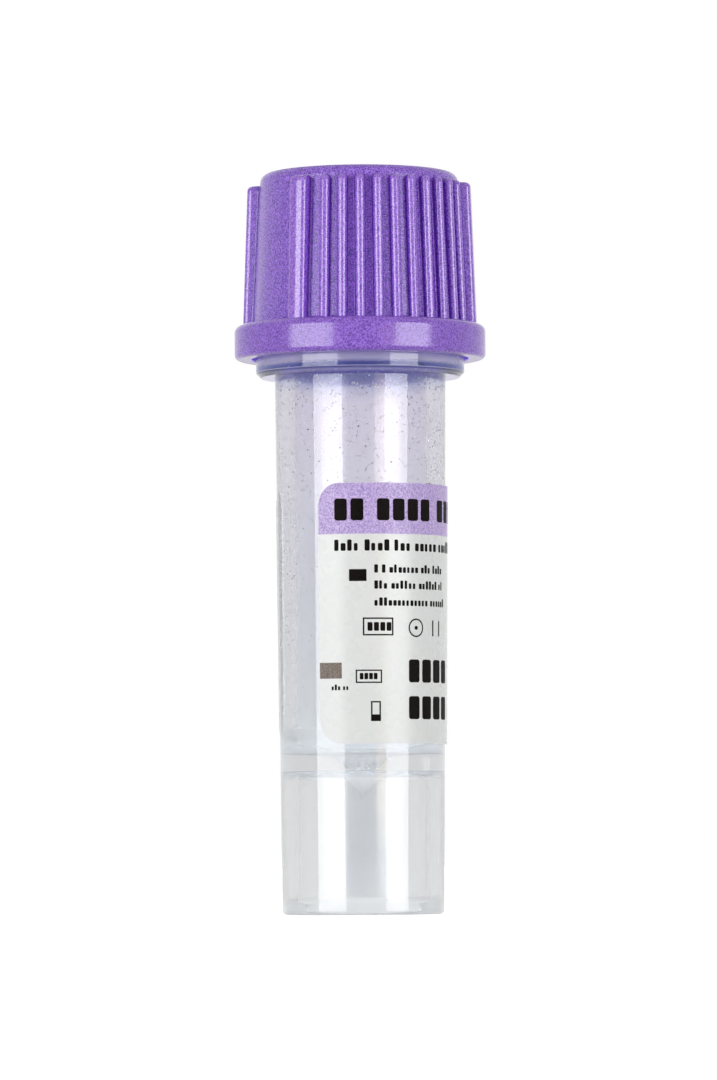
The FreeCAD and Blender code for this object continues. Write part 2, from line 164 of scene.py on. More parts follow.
# Tones of film, inks, table and light
WHITE = (1, 1, 1)
WHITE_FILM = ((0.86, 0.88, 0.865), (0.88, 0.895, 0.88))
LILAC_INK = ((0.38, 0.27, 0.66), (0.80, 0.63, 0.98))
BLACK_INK = ((0.004, 0.003, 0.003), (0.012, 0.008, 0.008))
BROWN_INK = ((0.09, 0.065, 0.05), (0.26, 0.20, 0.16))
PALE_TABLE = ((0.80, 0.80, 0.81), (0.84, 0.84, 0.84))
FAR_TABLE = (0.0, 0.26, 1)
FAR_ROOM = (0.95, 0.98, 1)
WARM = (1, 0.72, 0.3)

RAYS = ("diffuse", "glossy", "transmission")  # the kinds of ray that can meet a lamp


def unit(vector):
    return vector / np.linalg.norm(vector)


def body_radius(level):
    """Outside of the tapered body: a straight line from the foot's radius to the shoulder's."""
    return FOOT_RADIUS + (SHOULDER_RADIUS - FOOT_RADIUS) * level / COLLAR_LOW


def cap_radius(level):
    """Outside of the cap's tapered wall: a straight line from its root's radius to the crown's."""
    taper = CROWN_RADIUS - WALL_ROOT_RADIUS
    return WALL_ROOT_RADIUS + taper * (level - FLANGE_TOP) / (CROWN - FLANGE_TOP)


def on_circle(radius, angle, level):
    """Points (r cos a, r sin a, z) out of arrays that fit each other."""
    return np.stack([radius * np.cos(angle), radius * np.sin(angle), level + 0 * angle], axis=-1)


def rounded(corners, step=math.radians(10)):
    """Outline through (radius, level, rounding) corners, as an array of points.

    A rounded corner becomes an arc that starts rounding / tan(half the angle of the corner) from
    it. The arc's points swing from its first to its last spoke. One more point stands just
    outside each end of the arc, which keeps the shading of the straight side flat."""
    spots = [np.array(corner[:2], float) for corner in corners]
    points = []
    for place, (spot, (_, _, rounding)) in enumerate(zip(spots, corners)):
        if not rounding:
            points.append(spot)
            continue
        back, on = unit(spots[place - 1] - spot), unit(spots[place + 1] - spot)
        half = math.acos(np.clip(back @ on, -1, 1)) / 2
        reach, turn = rounding / math.tan(half), math.pi - 2 * half
        centre = spot + unit(back + on) * rounding / math.sin(half)
        share = np.linspace(0, 1, max(2, math.ceil(turn / step)) + 1)[:, None]
        first, last = spot + back * reach - centre, spot + on * reach - centre
        arc = (np.sin((1 - share) * turn) * first + np.sin(share * turn) * last) / math.sin(turn)
        beside = reach + ARC_END
        points += [spot + back * beside, *(centre + arc), spot + on * beside]
    return np.array(points)


def filled(outline, longest):
    """The outline with points added so that no step along it is longer than this."""
    parts = [outline[:1]]
    for first, last in zip(outline[:-1], outline[1:]):
        count = math.ceil(np.linalg.norm(last - first) / longest)
        parts.append(first + (last - first) * np.arange(1, count + 1)[:, None] / count)
    return np.concatenate(parts)


def loop_faces(rows, columns, closed=False):
    """Quads between each loop of a grid and the next, and from the last to the first if closed."""
    row = np.arange(rows if closed else rows - 1)[:, None]
    column = np.arange(columns)
    beside, over = (column + 1) % columns, (row + 1) % rows * columns
    quads = [row * columns + column, row * columns + beside, over + beside, over + column]
    return np.stack(np.broadcast_arrays(*quads), axis=-1).reshape(-1, 4).tolist()


def pole_faces(rows, columns):
    """Triangles from the first and last loops to the two points that follow the grid."""
    column = np.arange(columns)
    beside, top = (column + 1) % columns, (rows - 1) * columns
    pole = np.full(columns, rows * columns)
    low = np.stack([beside, column, pole], axis=-1)
    high = np.stack([top + column, top + beside, pole + 1], axis=-1)
    return np.concatenate([low, high]).tolist()


def strip_faces(rows, columns):
    """Quads that close the first and last loops, each point joined to the one that faces it."""
    near = np.arange(columns // 2 - 1)
    far, top = columns - 1 - near, (rows - 1) * columns
    low = np.stack([near + 1, near, far, far - 1], axis=-1)
    high = top + np.stack([near, near + 1, far - 1, far], axis=-1)
    return np.concatenate([low, high]).tolist()


def turned(outline, ripple=0.0):
    """Skin of an outline turned about the axis, from pole to pole.

    With a ripple, the radius falls by up to that much along slow waves round and up the piece."""
    angle = np.linspace(0, 2 * math.pi, TURNS, endpoint=False)
    radius, level = outline[1:-1, :1], outline[1:-1, 1:]
    wave = np.cos(2 * angle + 0.31 * level) + np.cos(3 * angle - 0.23 * level + 1.0)
    grid = on_circle(radius - ripple * (wave + 2) / 4, angle, level)
    poles = [(0, 0, outline[0, 1]), (0, 0, outline[-1, 1])]
    faces = loop_faces(len(grid), TURNS) + pole_faces(len(grid), TURNS)
    return np.concatenate([grid.reshape(-1, 3), poles]), faces


def copies(points, faces):
    """One skin out of many like ones: points is copies x points x 3, faces those of the first."""
    count, each = points.shape[:2]
    return points.reshape(-1, 3), [
        [corner + copy * each for corner in face] for copy in range(count) for face in faces
    ]


def piece(name, material, *skins, sharp=40.0):
    """A mesh object out of skins. Edges that turn by more than `sharp` degrees stay crisp."""
    points, faces, taken = [], [], 0
    for skin_points, skin_faces in skins:
        points.append(skin_points)
        faces += [[corner + taken for corner in face] for face in skin_faces]
        taken += len(skin_points)
    mesh = bpy.data.meshes.new(name)
    mesh.from_pydata((np.concatenate(points) * MM).tolist(), [], faces)
    mesh.polygons.foreach_set("use_smooth", np.ones(len(mesh.polygons), bool))
    mesh.set_sharp_from_angle(angle=math.radians(sharp))
    mesh.materials.append(material)
    made = bpy.data.objects.new(name, mesh)
    bpy.context.scene.collection.objects.link(made)
    return made


def tube_outline():
    """Half section of the tube, from under the well, round the foot, the rim and the bore."""
    return filled(rounded([
        (0, WELL_UNDER - WELL_RADIUS * WELL_FALL, 0),
        (WELL_RADIUS, WELL_UNDER, 0.25),
        (SKIRT_RADIUS, SKIRT_CEILING, 0.5),
        (SKIRT_RADIUS, FOOT_BEVEL[1], 0.3),
        (SKIRT_RADIUS + FOOT_BEVEL[0], 0, 0.05),
        (FOOT_RADIUS, 0, 0.27),
        (SHOULDER_RADIUS, COLLAR_LOW, 0.12),
        (COLLAR_RADIUS - 0.3, COLLAR_LOW, 0.08),
        (COLLAR_RADIUS, COLLAR_LOW + 0.3, 0.06),
        (COLLAR_RADIUS, SEAT + SEAT_BITE, 0.15),
        (NECK_RADIUS, SEAT + SEAT_BITE, 0.06),
        (NECK_RADIUS, RIM, 0.22),
        (MOUTH_RADIUS, RIM, 0.22),
        (MOUTH_RADIUS, MOUTH_LOW, 0),
        (BORE_RADIUS, BORE_TOP, 0),
        (BORE_RADIUS, BORE_FLOOR, 0.8),
        (WELL_RADIUS, WELL_OVER, 0.3),
        (0, WELL_OVER - WELL_RADIUS * WELL_FALL, 0),
    ]), longest=1.5)


def cap_outline():
    """Half section of the cap, from inside its plug, round groove and flange, to the crown."""
    return rounded([
        (0, DISC, 0),
        (HOLLOW_RADIUS, DISC, 0.3),
        (HOLLOW_RADIUS, PLUG_END, 0.1),
        (SEAL_RADIUS - 0.2, PLUG_END, 0.1),
        (SEAL_RADIUS, PLUG_END + 0.4, 0.2),
        (SEAL_RADIUS, PLUG_END + 1.9, 0.1),
        (PLUG_RADIUS, PLUG_END + 2.02, 0),
        (PLUG_RADIUS, DISC, 0.1),
        (GROOVE_RADIUS, DISC, 0.1),
        (GROOVE_RADIUS, SEAT, 0.05),
        (RECESS_RADIUS, SEAT, 0.1),
        (RECESS_RADIUS, CAP_BASE, 0.1),
        (FLANGE_RADIUS, CAP_BASE, 0.3),
        (FLANGE_RADIUS, FLANGE_TOP, 0.43),
        (WALL_ROOT_RADIUS, FLANGE_TOP, 0.12),
        (CROWN_RADIUS, CROWN, 0.55),
        (0, CROWN, 0),
    ])


def rib_levels(rounding):
    """Levels of a rib's loops, in a column: two on its straight part, the rest up its round top."""
    lean = np.linspace(0, math.pi / 2, 8)
    straight = [RIB_ROOT, RIB_TOP - rounding - ARC_END]
    return np.concatenate([straight, RIB_TOP - rounding * (1 - np.sin(lean))])[:, None]


def rib_loops(width, root, top, rounding):
    """x, y and level of the points of a rib that points along +X, a row for each loop.

    A loop runs from its heel inside the wall, out along one side, round the nose and back. A side
    is ROOT_FLARE * (1 - sin t) wider where it stands ROOT_RISE * (1 - cos t) off the wall. Over
    the last `rounding` millimetres up the rib, the half width and the nose both follow a quarter
    circle inwards, and the flare fades."""
    level = rib_levels(rounding)
    wall = cap_radius(level)
    share = (level - FLANGE_TOP) / (RIB_TOP - FLANGE_TOP)
    rise = np.clip((level - RIB_TOP + rounding) / rounding, 0, 1)
    drawn = rounding * (1 - np.sqrt(1 - rise ** 2))
    half, tip = width / 2 - drawn, wall + root + (top - root) * share - drawn
    bend = np.linspace(0, math.pi / 2, 7)
    turn = np.minimum(rounding, half)
    flare = (1 - np.sin(bend)) * (1 - FLARE_LOSS * rise)
    side_x = np.concatenate([wall - HEEL, wall + ROOT_RISE * (1 - np.cos(bend)),
                             tip - turn * (1 - np.sin(bend))], axis=1)
    side_y = np.concatenate([half + ROOT_FLARE * flare[:, :1], half + ROOT_FLARE * flare,
                             half - turn * (1 - np.cos(bend))], axis=1)
    x = np.concatenate([side_x, side_x[:, ::-1]], axis=1)
    y = np.concatenate([-side_y, side_y[:, ::-1]], axis=1)
    return x, y, level


def ribs(directions, *shape):
    """Skin of like ribs of one shape, one for each direction in degrees."""
    x, y, level = rib_loops(*shape)
    angle = np.radians(directions)[:, None, None]
    grid = np.stack([x * np.cos(angle) - y * np.sin(angle), x * np.sin(angle) + y * np.cos(angle),
                     level + 0 * x + 0 * angle], axis=-1)
    faces = loop_faces(*x.shape) + strip_faces(*x.shape)
    return copies(grid.reshape(len(directions), -1, 3), faces)


def rib_directions(first, count, step):
    """Directions of both groups of ribs, in degrees: one group, and the same half a turn on."""
    group = CAP_TURN + first + step * np.arange(count)
    return np.concatenate([group, group + 180])


def film(start, end, low, high, inner, outer, round_low=0.0, round_high=0.0, longest=0.25):
    """Skin of a thin sheet that lies on the body, from `inner` to `outer` millimetres above it.

    start and end are millimetres along the label, low and high are levels. Near a rounded end
    the sides draw in by rounding * (1 - sin t) while the level moves by rounding * (1 - cos t)."""
    turn = np.linspace(0, math.pi / 2, 8)
    drawn, moved = 1 - np.sin(turn), 1 - np.cos(turn)
    foot = (low + round_low * moved, round_low * drawn) if round_low else ([low], [0.0])
    head = (high - round_high * moved, round_high * drawn) if round_high else ([high], [0.0])
    level = np.concatenate([foot[0], head[0][::-1]])[:, None]
    inset = np.concatenate([foot[1], head[1][::-1]])[:, None]
    share = np.linspace(0, 1, max(2, math.ceil((end - start) / longest) + 1))
    along = start + inset + share * (end - start - 2 * inset)
    angle = LABEL_FROM + along / LABEL_RADIUS
    angle = np.concatenate([angle, angle[:, ::-1]], axis=1)
    radius = body_radius(level) + np.repeat([outer, inner], len(share))
    faces = loop_faces(*angle.shape) + strip_faces(*angle.shape)
    return on_circle(radius, angle, level).reshape(-1, 3), faces


def ink(start, end, low, high, rounding=0.0):
    """Skin of one printed field on the label."""
    return film(start, end, low, high, LABEL_OUT - INK_DEPTH, LABEL_OUT + INK, rounding, rounding)


def box_lines(start, end, low, high, line):
    """Skins of a printed box: four strokes that meet at its corners."""
    return [ink(start, end, low, low + line), ink(start, end, high - line, high),
            ink(start, start + line, low + line, high - line),
            ink(end - line, end, low + line, high - line)]


def ring_line(along, level, radius, line):
    """Skin of a printed ring: a square stroke carried round a circle on the label."""
    turn = np.linspace(0, 2 * math.pi, 48, endpoint=False)[:, None]
    reach = radius - line * np.array([1, 0, 0, 1])
    stand = np.array([LABEL_OUT - INK_DEPTH] * 2 + [LABEL_OUT + INK] * 2)
    height = level + reach * np.sin(turn)
    angle = LABEL_FROM + (along + reach * np.cos(turn)) / LABEL_RADIUS
    grid = on_circle(body_radius(height) + stand, angle, height)
    return grid.reshape(-1, 3), loop_faces(*angle.shape, closed=True)


def text_line(start, level, height, word_lengths, bold=False):
    """Skins of a line of plain blocks in place of words, as many blocks as each word is long."""
    rng = np.random.default_rng(int(level * 100))
    pitch = height * (0.74 if bold else 0.58)
    blocks = []
    for length in word_lengths:
        for place in range(length):
            left = start + place * pitch
            tall = height if bold else height * rng.choice([0.68, 0.68, 1.0])
            wide = pitch * (0.78 if bold else rng.uniform(0.55, 0.78))
            blocks.append(ink(left, left + wide, level, level + tall, 0.12 * height))
        start += (length + 0.6) * pitch
    return blocks


def domes(angle, level, radius, height, wall):
    """Skin of small domes on the inside of a round wall, whose radius may differ from dome to dome.

    Each dome's loops stand at height * sin t off the wall and are radius * cos t wide. The first
    loop and the pole behind it lie inside the wall."""
    lift = np.array([-0.35, 0.25, 0.9])[None, :, None]
    round_ = np.linspace(0, 2 * math.pi, 8, endpoint=False)[None, None, :]
    angle, level, radius, height, wall = (
        value[:, None, None] for value in (angle, level, radius, height, wall))
    off = wall - height * np.sin(lift)
    along = radius * np.cos(lift) * np.cos(round_)
    up = level - radius * np.cos(lift) * np.sin(round_)
    grid = np.stack([off * np.cos(angle) - along * np.sin(angle),
                     off * np.sin(angle) + along * np.cos(angle), up], axis=-1)
    ends = wall[:, 0] - height[:, 0] * np.array([-0.35, 1.0])
    poles = on_circle(ends, angle[:, 0], level[:, 0] + 0 * ends)
    points = np.concatenate([grid.reshape(len(grid), -1, 3), poles], axis=1)
    return copies(points, loop_faces(3, 8) + pole_faces(3, 8))


def add_node(tree, kind, **settings):
    """A node with its inputs and properties set by name."""
    node = tree.nodes.new(kind)
    for name, value in settings.items():
        socket = node.inputs.get(name.replace("_", " "))
        if socket is None:
            setattr(node, name, value)
        else:
            socket.default_value = value
    return node


def new_material(name, **settings):
    """A material and its node tree and shader, with constants set on the shader's own sockets."""
    made = bpy.data.materials.new(name)
    made.use_nodes = True
    shader = made.node_tree.nodes["Principled BSDF"]
    for socket, value in settings.items():
        shader.inputs[socket.replace("_", " ")].default_value = value
    return made, made.node_tree, shader


def math_node(tree, operation, *values):
    """The result of a sum on numbers and sockets."""
    node = add_node(tree, "ShaderNodeMath", operation=operation)
    for socket, value in zip(node.inputs, values):
        if isinstance(value, (int, float)):
            socket.default_value = value
        else:
            tree.links.new(value, socket)
    return node.outputs["Value"]


def product(tree, result, *factors):
    """The first value multiplied by each of the others. They may be numbers or sockets."""
    for factor in factors:
        result = math_node(tree, "MULTIPLY", result, factor)
    return result


def coordinates(tree, kind="Object"):
    """x, y and z of the shaded place: in the piece's own metres, or in another kind of frame."""
    place = add_node(tree, "ShaderNodeTexCoord")
    split = add_node(tree, "ShaderNodeSeparateXYZ")
    tree.links.new(place.outputs[kind], split.inputs["Vector"])
    return [split.outputs[axis] for axis in "XYZ"]


def noise(tree, size, detail=2.0):
    """A noise over the piece's own coordinates whose grains are about `size` millimetres."""
    place = add_node(tree, "ShaderNodeTexCoord")
    grain = add_node(tree, "ShaderNodeTexNoise", Scale=1 / (size * MM), Detail=detail)
    tree.links.new(place.outputs["Object"], grain.inputs["Vector"])
    return grain.outputs["Fac"]


def spread(tree, source, low, high, start=0.3, end=0.7):
    """A value that runs from low to high as the source runs from start to end."""
    scale = add_node(tree, "ShaderNodeMapRange", From_Min=start, From_Max=end, To_Min=low,
                     To_Max=high)
    tree.links.new(source, scale.inputs["Value"])
    return scale.outputs["Result"]


def two_tone(tree, source, first, second):
    """A colour that runs from the first to the second with the source. Each may be a socket."""
    blend = add_node(tree, "ShaderNodeMix", data_type="RGBA")
    for name, tone in (("A", first), ("B", second)):
        # the node has a float, a vector and a colour socket of each name, in this order
        socket = [each for each in blend.inputs if each.name == name and each.type == "RGBA"][0]
        if isinstance(tone, tuple):
            socket.default_value = (*tone, 1)
        else:
            tree.links.new(tone, socket)
    tree.links.new(source, blend.inputs["Factor"])
    return [each for each in blend.outputs if each.type == "RGBA"][0]


def grained(tree, grain, tones, start=0.3, end=0.7):
    """A colour that runs from the first to the second of two tones with a grain."""
    return two_tone(tree, spread(tree, grain, 0, 1, start, end), *tones)


def layered(tree, ground, *layers):
    """A colour with others laid over it in turn, each given as (share, colour)."""
    for share, tone in layers:
        ground = two_tone(tree, share, ground, tone)
    return ground


def bump(tree, shader, source, depth, strength=1.0):
    """Relief on a shader, `depth` millimetres deep. The strength may be a number or a socket."""
    relief = add_node(tree, "ShaderNodeBump", Distance=depth * MM)
    tree.links.new(source, relief.inputs["Height"])
    if isinstance(strength, float):
        relief.inputs["Strength"].default_value = strength
    else:
        tree.links.new(strength, relief.inputs["Strength"])
    tree.links.new(relief.outputs["Normal"], shader.inputs["Normal"])


def height_share(tree, none, full):
    """0 at one level of the piece and beyond, 1 at the other and beyond, in millimetres."""
    return spread(tree, coordinates(tree)[2], 0.0, 1.0, none * MM, full * MM)


def height_band(tree, levels):
    """1 within a band of levels, fading to 0 below and above it: start, full, last full, end."""
    start, full, last, end = levels
    return product(tree, height_share(tree, start, full), height_share(tree, end, last))


def from_axis(tree):
    """How far a place is from the piece's axis, in metres."""
    x, y, _ = coordinates(tree)
    return math_node(tree, "SQRT", math_node(tree, "MULTIPLY_ADD", y, y, product(tree, x, x)))


def within_radius(tree, full, end):
    """1 up to one distance from the axis, 0 from another one outwards, in millimetres."""
    return spread(tree, from_axis(tree), 1, 0, full * MM, end * MM)


def out_from_cone(tree, low_level, low_radius, high_level, high_radius):
    """How far a place stands out from a cone, in metres.

    With the slope k of the cone, that is hypot(x, y) - k z - the cone's radius at level 0."""
    slope = (high_radius - low_radius) / (high_level - low_level)
    radius = math_node(tree, "MULTIPLY_ADD", coordinates(tree)[2], -slope, from_axis(tree))
    return math_node(tree, "SUBTRACT", radius, (low_radius - slope * low_level) * MM)


def among_ribs(tree):
    """1 where the wall lies within either group of ribs, 0 on the two smooth stretches.

    The direction less that of the first group's middle is wrapped to within a quarter turn."""
    x, y, _ = coordinates(tree)
    middle = math.radians(CAP_TURN + (RIB_COUNT - 1) / 2 * RIB_PITCH)
    turn = math_node(tree, "SUBTRACT", math_node(tree, "ARCTAN2", y, x), middle)
    turn = math_node(tree, "WRAP", turn, math.pi / 2, -math.pi / 2)
    edge = math.radians((RIB_COUNT / 2 + 0.6) * RIB_PITCH)
    return spread(tree, math_node(tree, "ABSOLUTE", turn), 1, 0, edge, edge + 0.05)


def by_ray(tree, camera, mirrored, through, other):
    """A value for camera rays, for mirrored rays, for rays through plastic, and for the rest.

    A ray through plastic may also count as mirrored, so it is looked at last."""
    path = add_node(tree, "ShaderNodeLightPath")
    value = other
    for kind, own in (("Camera", camera), ("Glossy", mirrored), ("Transmission", through)):
        change = math_node(tree, "SUBTRACT", own, value)
        value = math_node(tree, "MULTIPLY_ADD", path.outputs[f"Is {kind} Ray"], change, value)
    return value


def straight_ahead(tree, kind):
    """1 for what is low and straight behind the tube, 0 to either side: |x| / y is small there."""
    x, y, z = coordinates(tree, kind)
    behind = spread(tree, y, 0, 1, 0.1, 0.2)
    low = spread(tree, z, 1, 0, 0.01, 0.04)
    aside = math_node(tree, "DIVIDE", math_node(tree, "ABSOLUTE", x), y)
    return product(tree, behind, low, spread(tree, aside, 1, 0, 0.04, 0.12))


def tinted_ahead(tree, ahead, tint):
    """White, but tinted straight ahead where it is seen through plastic."""
    seen_through = by_ray(tree, camera=0.0, mirrored=0.0, through=1.0, other=0.0)
    return two_tone(tree, product(tree, ahead, seen_through), WHITE, tint)


def collar_tone(tree):
    """From below: the collar's edge, a navy band of painted shade with a thin painted highlight
    line in it, and a pale rest.
    """
    return layered(
        tree, EDGE_MILKY,
        (height_share(tree, COLLAR_LOW + 0.12, COLLAR_LOW + 0.22), NAVY_SHADE_MILKY),
        (height_share(tree, COLLAR_LOW + 0.50, COLLAR_LOW + 0.72), PALE_MILKY),
        (height_band(tree, COLLAR_HIGHLIGHT_LINE), HIGHLIGHT_LINE_MILKY))


def clear_tone(tree, haze, milky):
    """Nearly colourless. Upwards it is painted a little lilac, a painted reflection of the cap's
    colour; it is blue right under the collar, pale grey in the solid floor, clearest in the skirt
    and plain again above the collar."""
    plain = grained(tree, haze, CLEAR)
    return layered(
        tree, plain,
        (height_share(tree, BORE_FLOOR, COLLAR_LOW - 2), CAP_REFLECTION_LILAC),
        (height_share(tree, COLLAR_LOW - 1.0, COLLAR_LOW), BLUE_CLEAR),
        (height_band(tree, SOLID_FLOOR), FLOOR_CLEAR),
        (height_share(tree, SKIRT_CEILING, SKIRT_CEILING - 0.5), SKIRT_CLEAR),
        (height_share(tree, SEAT + 0.05, SEAT + 0.25), plain),
        (milky, collar_tone(tree)))


def dull_share(tree, inside, near_foot):
    """1 on the duller faces inside: the floor's, above and below, the lowest bore and the bevel."""
    floor = product(tree, height_band(tree, FLOOR_FACES),
                    within_radius(tree, SKIRT_RADIUS - 0.08, SKIRT_RADIUS - 0.01))
    near_floor = math_node(tree, "MAXIMUM", floor, height_band(tree, LOWEST_BORE))
    return product(tree, inside, math_node(tree, "ADD", near_floor, near_foot))


def clear_plastic():
    """Clear polypropylene: polished, with a slight haze and a milky collar.

    Its duller faces carry a faint painted glow, standing in for the light they scatter, most in
    corners and at the foot."""
    made, tree, shader = new_material(
        "clear_polypropylene", IOR=1.49, Emission_Color=(0.88, 0.92, 1, 1))
    haze = noise(tree, 1.6, 3.0)
    milky = height_band(tree, COLLAR)
    tree.links.new(clear_tone(tree, haze, milky), shader.inputs["Base Color"])
    tree.links.new(spread(tree, milky, 0.95, 0.68, 0, 1), shader.inputs["Transmission Weight"])
    off_body = out_from_cone(tree, 0, FOOT_RADIUS, COLLAR_LOW, SHOULDER_RADIUS)
    inside = spread(tree, off_body, 1, 0, -0.5 * MM, -0.3 * MM)
    near_foot = height_share(tree, 1.1, 0.8)
    dull = dull_share(tree, inside, near_foot)
    rough = math_node(tree, "MULTIPLY_ADD", inside, 0.12, spread(tree, haze, 0.03, 0.08))
    rough = math_node(tree, "MULTIPLY_ADD", dull, 0.7, rough)
    tree.links.new(rough, shader.inputs["Roughness"])
    # Painted glow: the dull inner faces emit a little light, more in the corners by the floor and
    # at the foot.
    corners = math_node(tree, "ADD", height_band(tree, OVER_FLOOR), height_band(tree, UNDER_FLOOR))
    bright = math_node(tree, "ADD", corners, near_foot)
    glow = product(tree, dull, math_node(tree, "MULTIPLY_ADD", bright, 0.06, 0.05))
    tree.links.new(glow, shader.inputs["Emission Strength"])
    bump(tree, shader, noise(tree, 0.35), 0.004, 0.5)
    return made


def purple_tone(tree, grain, wall, rib_foot_shade, nose):
    """Mild on the flange, speckled on the wall, darkened with painted shade among the ribs and at
    their feet, and lightened on their noses as a painted highlight."""
    # Painted shade: the wall among the ribs, below their tops, turns a deeper purple.
    between = product(tree, among_ribs(tree), height_share(tree, RIB_TOP + 0.1, RIB_TOP - 0.3))
    speckled = two_tone(tree, between, grained(tree, grain, SMOOTH_PURPLE, 0.35, 0.65),
                        grained(tree, grain, AMONG_RIBS_SHADE_PURPLE, 0.35, 0.65))
    return layered(
        tree, grained(tree, grain, FLANGE_PURPLE, 0.38, 0.62),
        (wall, speckled),
        # painted shade where each rib's flank meets the wall
        (rib_foot_shade, RIB_FOOT_SHADE_PURPLE),
        # painted highlight: lighter rib noses
        (nose, grained(tree, grain, NOSE_HIGHLIGHT_PURPLE, 0.35, 0.65)))


def inside_cap(tree):
    """1 on the faces of the recess and the groove, 0 on the cap's outside."""
    recess = product(tree, within_radius(tree, RECESS_RADIUS + 0.05, RECESS_RADIUS + 0.10),
                     height_share(tree, FLANGE_TOP - 0.3, FLANGE_TOP - 0.4))
    groove = product(tree, within_radius(tree, GROOVE_RADIUS + 0.10, GROOVE_RADIUS + 0.15),
                     height_share(tree, DISC + 0.5, DISC + 0.4))
    return math_node(tree, "MAXIMUM", recess, groove)


def cap_plastic():
    """Purple polyethylene: sandy grain on the wall, smoother rib noses, polished flange.

    The foot of each rib, where it leaves the wall, is darkened as painted shade. Inside, the recess
    and groove carry a faint painted glow for the light that the wall lets through."""
    made, tree, shader = new_material(
        "purple_polyethylene", IOR=1.54, Subsurface_Weight=0.1, Subsurface_Radius=(1, 0.6, 1),
        Subsurface_Scale=0.2 * MM, Emission_Color=(0.24, 0.17, 0.85, 1))
    grain = noise(tree, 0.085, 1.0)
    wall = height_share(tree, FLANGE_TOP - 0.35, FLANGE_TOP)
    out = out_from_cone(tree, FLANGE_TOP, WALL_ROOT_RADIUS, CROWN, CROWN_RADIUS)
    nose = product(tree, wall, spread(tree, out, 0, 1, 0.15 * MM, 0.3 * MM))
    # Painted shade: darker where a rib's flank stands just off the wall, short of its nose.
    rib_foot_shade = product(tree, spread(tree, out, 0, 0.45, 0.01 * MM, 0.03 * MM),
                       math_node(tree, "SUBTRACT", wall, nose))
    tree.links.new(purple_tone(tree, grain, wall, rib_foot_shade, nose), shader.inputs["Base Color"])
    tree.links.new(product(tree, nose, 0.3), shader.inputs["Coat Weight"])
    rough = math_node(tree, "MULTIPLY_ADD", height_share(tree, CROWN - 0.14, CROWN - 0.02), 0.45,
                      spread(tree, nose, 0.18, 0.06, 0, 1))
    tree.links.new(rough, shader.inputs["Roughness"])
    # Painted glow: the recess and the groove emit a faint purple light, in place of light through
    # the wall.
    tree.links.new(product(tree, inside_cap(tree), 0.25), shader.inputs["Emission Strength"])
    relief = math_node(tree, "SUBTRACT", spread(tree, wall, 0.05, 0.55, 0, 1),
                       product(tree, nose, 0.46))
    bump(tree, shader, grain, 0.018, relief)
    return made


def label_film():
    """Glossy white film with a faint green cast, and a painted glow, strongest where it is seen
    through the plastic, for light through it from the other side.
    """
    made, tree, shader = new_material("white_film", IOR=1.5)
    tone = grained(tree, noise(tree, 5.0), WHITE_FILM)
    tree.links.new(tone, shader.inputs["Base Color"])
    tree.links.new(tone, shader.inputs["Emission Color"])
    # Painted glow: the film emits a little light, much more for rays that reach it through the
    # plastic.
    path = add_node(tree, "ShaderNodeLightPath")
    glow = spread(tree, path.outputs["Is Transmission Ray"], 0.02, 0.47, 0, 1)
    tree.links.new(glow, shader.inputs["Emission Strength"])
    tree.links.new(spread(tree, noise(tree, 0.8), 0.25, 0.3), shader.inputs["Roughness"])
    bump(tree, shader, noise(tree, 1.2), 0.002, 0.2)
    return made


def printed(name, tones, grain, roughness=0.3, **settings):
    """An ink whose colour is broken up by a fine grain."""
    made, tree, shader = new_material(name, IOR=1.4, **settings)
    tree.links.new(grained(tree, noise(tree, grain, 1.0), tones), shader.inputs["Base Color"])
    rough = spread(tree, noise(tree, 0.5), roughness, roughness + 0.1)
    tree.links.new(rough, shader.inputs["Roughness"])
    bump(tree, shader, noise(tree, 0.1), 0.002, 0.3)
    return made


def dried_additive(dark):
    """Beads of the dried additive, between a dark tone and white, and all white low down. The dark
    tone is painted shade for the dark that the beads show by refraction.
    """
    made, tree, shader = new_material("dried_additive", IOR=1.5)
    light = math_node(tree, "MAXIMUM", spread(tree, noise(tree, 0.2), 0, 1, 0.44, 0.54),
                      height_share(tree, 28, 23))
    tone = two_tone(tree, light, (dark, dark, dark), WHITE)
    tree.links.new(tone, shader.inputs["Base Color"])
    tree.links.new(spread(tree, noise(tree, 0.05), 0.02, 0.12), shader.inputs["Roughness"])
    return made


def make_tube():
    tube = piece("clear_tube", clear_plastic(), turned(tube_outline(), RIPPLE), sharp=35.0)
    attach(tube, "tube")
    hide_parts("tube")


def make_cap():
    narrow = ribs(rib_directions(0, RIB_COUNT, RIB_PITCH), *NARROW_RIB)
    wide_step = (RIB_COUNT - 1 + 2 * WIDE_GAP) * RIB_PITCH
    wide = ribs(rib_directions(-WIDE_GAP * RIB_PITCH, 2, wide_step), *WIDE_RIB)
    cap = piece("ribbed_cap", cap_plastic(), turned(cap_outline()), narrow, wide)
    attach(cap, "cap")
    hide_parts("cap")


def make_label():
    sheet = film(0, LABEL_LENGTH, LABEL_LOW, LABEL_TOP, LABEL_IN, LABEL_OUT, LABEL_CORNER,
                 LABEL_CORNER)
    label = piece("wrap_label", label_film(), sheet)
    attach(label, "tube")
    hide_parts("label")


def make_band():
    """The coloured band that matches the cap, along the label's upper edge."""
    sheet = film(BAND_INSET, LABEL_LENGTH - BAND_INSET, BAND_LOW, LABEL_TOP - BAND_INSET,
                 LABEL_OUT - INK_DEPTH, LABEL_OUT + INK / 2, round_high=LABEL_CORNER)
    band = piece("label_band", printed("lilac_ink", LILAC_INK, 0.1), sheet)
    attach(band, "tube")


